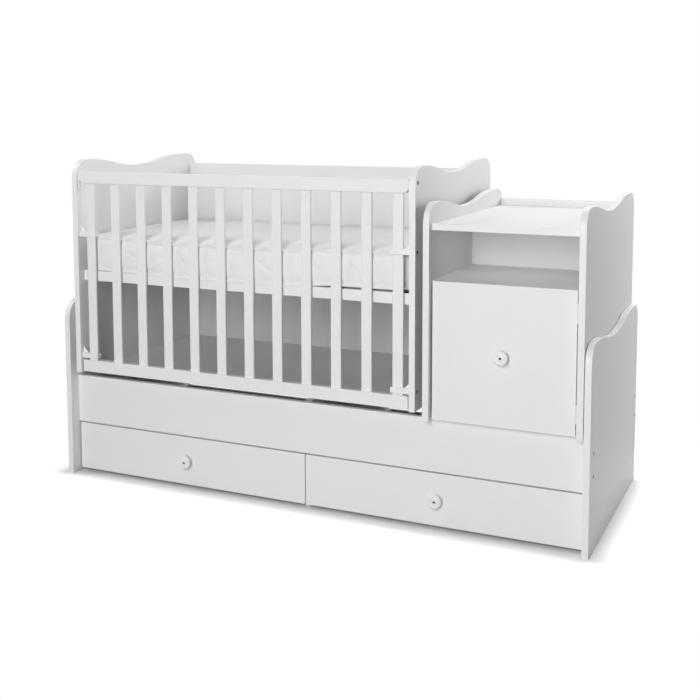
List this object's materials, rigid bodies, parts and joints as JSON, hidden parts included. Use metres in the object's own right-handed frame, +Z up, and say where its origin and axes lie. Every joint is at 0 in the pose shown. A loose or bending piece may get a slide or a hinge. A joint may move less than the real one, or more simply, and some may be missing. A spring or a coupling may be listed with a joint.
{
  "type": "convertible crib",
  "caption": "White crib with a slatted drop side and a mattress, beside a changing chest with niche and door, on a base with rolling drawers",
  "frame": {"origin": "On the floor, under the middle of the whole object's box", "axes": "+X along the length to the chest, -Y to the front with the drawers, +Z up"},
  "size_m": [1.66, 0.693, 1.004],
  "materials": {
    "white_board": "satin white lacquer",
    "white_plastic": "smooth moulded",
    "dark_bolt": "black coated",
    "hinge_steel": "plain",
    "mattress_cover": "smooth woven cover with piped seams",
    "wheel_plastic": "moulded"
  },
  "bodies": {
    "frame": {"base_end_left": "white_board", "base_end_right": "white_board", "base_front_panel": "white_board", "base_back_panel": "white_board", "base_centre_support": "white_board", "base_deck": "white_board", "crib_end_left": "white_board", "crib_end_right": "white_board", "crib_back_panel": "white_board", "mattress_base_front_rail": "white_board", "mattress_base_back_rail": "white_board", "mattress_base_board": "white_board", "mattress_base_battens": "white_board", "crib_mattress": "mattress_cover", "chest_side_left": "white_board", "chest_side_right": "white_board", "chest_top": "white_board", "chest_back_rail": "white_board", "chest_bottom": "white_board", "chest_shelf": "white_board", "chest_niche_back": "white_board", "chest_back_panel": "white_board", "base_bolts": "dark_bolt", "crib_bolts": "dark_bolt", "mattress_base_bolts": "dark_bolt", "guide_brackets": "white_plastic", "catch_plates": "white_plastic", "hinge_side_leaves": "hinge_steel", "hinge_pins": "hinge_steel"},
    "drop_side": {"drop_side_top_rail": "white_board", "drop_side_bottom_rail": "white_board", "drop_side_slats": "white_board"},
    "chest_door": {"chest_door": "white_board", "chest_door_knob": "white_plastic", "chest_door_knob_screw": "dark_bolt", "hinge_door_leaves": "hinge_steel"},
    "drawer_left": {"drawer_left_front": "white_board", "drawer_left_side_left": "white_board", "drawer_left_side_right": "white_board", "drawer_left_back": "white_board", "drawer_left_bottom": "white_board", "drawer_left_knob": "white_plastic", "drawer_left_knob_screw": "dark_bolt", "drawer_left_castor_housings": "white_plastic"},
    "drawer_left_wheel_front_left": {"drawer_left_wheel_front_left": "wheel_plastic"},
    "drawer_left_wheel_front_right": {"drawer_left_wheel_front_right": "wheel_plastic"},
    "drawer_left_wheel_back_left": {"drawer_left_wheel_back_left": "wheel_plastic"},
    "drawer_left_wheel_back_right": {"drawer_left_wheel_back_right": "wheel_plastic"},
    "drawer_right": {"drawer_right_front": "white_board", "drawer_right_side_left": "white_board", "drawer_right_side_right": "white_board", "drawer_right_back": "white_board", "drawer_right_bottom": "white_board", "drawer_right_knob": "white_plastic", "drawer_right_knob_screw": "dark_bolt", "drawer_right_castor_housings": "white_plastic"},
    "drawer_right_wheel_front_left": {"drawer_right_wheel_front_left": "wheel_plastic"},
    "drawer_right_wheel_front_right": {"drawer_right_wheel_front_right": "wheel_plastic"},
    "drawer_right_wheel_back_left": {"drawer_right_wheel_back_left": "wheel_plastic"},
    "drawer_right_wheel_back_right": {"drawer_right_wheel_back_right": "wheel_plastic"}
  },
  "joints": [
    {"name": "drop_side_slide", "type": "slide", "parent": "frame", "child": "drop_side", "axis": [0, 0, -1], "range_m": [0, 0.13]},
    {"name": "chest_door_hinge", "type": "hinge", "parent": "frame", "child": "chest_door", "pos_m": [0.79, -0.3271, 0.5075], "axis": [0, 0, 1], "range_deg": [0, 90]},
    {"name": "drawer_left_slide", "type": "slide", "parent": "frame", "child": "drawer_left", "axis": [0, -1, 0], "range_m": [0, 0.45]},
    {"name": "drawer_left_wheel_front_left_turn", "type": "hinge", "parent": "drawer_left", "child": "drawer_left_wheel_front_left", "pos_m": [-0.739, -0.2103, 0.018], "axis": [1, 0, 0], "continuous": true},
    {"name": "drawer_left_wheel_front_right_turn", "type": "hinge", "parent": "drawer_left", "child": "drawer_left_wheel_front_right", "pos_m": [-0.06925, -0.2103, 0.018], "axis": [1, 0, 0], "continuous": true},
    {"name": "drawer_left_wheel_back_left_turn", "type": "hinge", "parent": "drawer_left", "child": "drawer_left_wheel_back_left", "pos_m": [-0.739, 0.2217, 0.018], "axis": [1, 0, 0], "continuous": true},
    {"name": "drawer_left_wheel_back_right_turn", "type": "hinge", "parent": "drawer_left", "child": "drawer_left_wheel_back_right", "pos_m": [-0.06925, 0.2217, 0.018], "axis": [1, 0, 0], "continuous": true},
    {"name": "drawer_right_slide", "type": "slide", "parent": "frame", "child": "drawer_right", "axis": [0, -1, 0], "range_m": [0, 0.45]},
    {"name": "drawer_right_wheel_front_left_turn", "type": "hinge", "parent": "drawer_right", "child": "drawer_right_wheel_front_left", "pos_m": [0.06925, -0.2103, 0.018], "axis": [1, 0, 0], "continuous": true},
    {"name": "drawer_right_wheel_front_right_turn", "type": "hinge", "parent": "drawer_right", "child": "drawer_right_wheel_front_right", "pos_m": [0.739, -0.2103, 0.018], "axis": [1, 0, 0], "continuous": true},
    {"name": "drawer_right_wheel_back_left_turn", "type": "hinge", "parent": "drawer_right", "child": "drawer_right_wheel_back_left", "pos_m": [0.06925, 0.2217, 0.018], "axis": [1, 0, 0], "continuous": true},
    {"name": "drawer_right_wheel_back_right_turn", "type": "hinge", "parent": "drawer_right", "child": "drawer_right_wheel_back_right", "pos_m": [0.739, 0.2217, 0.018], "axis": [1, 0, 0], "continuous": true}
  ]
}
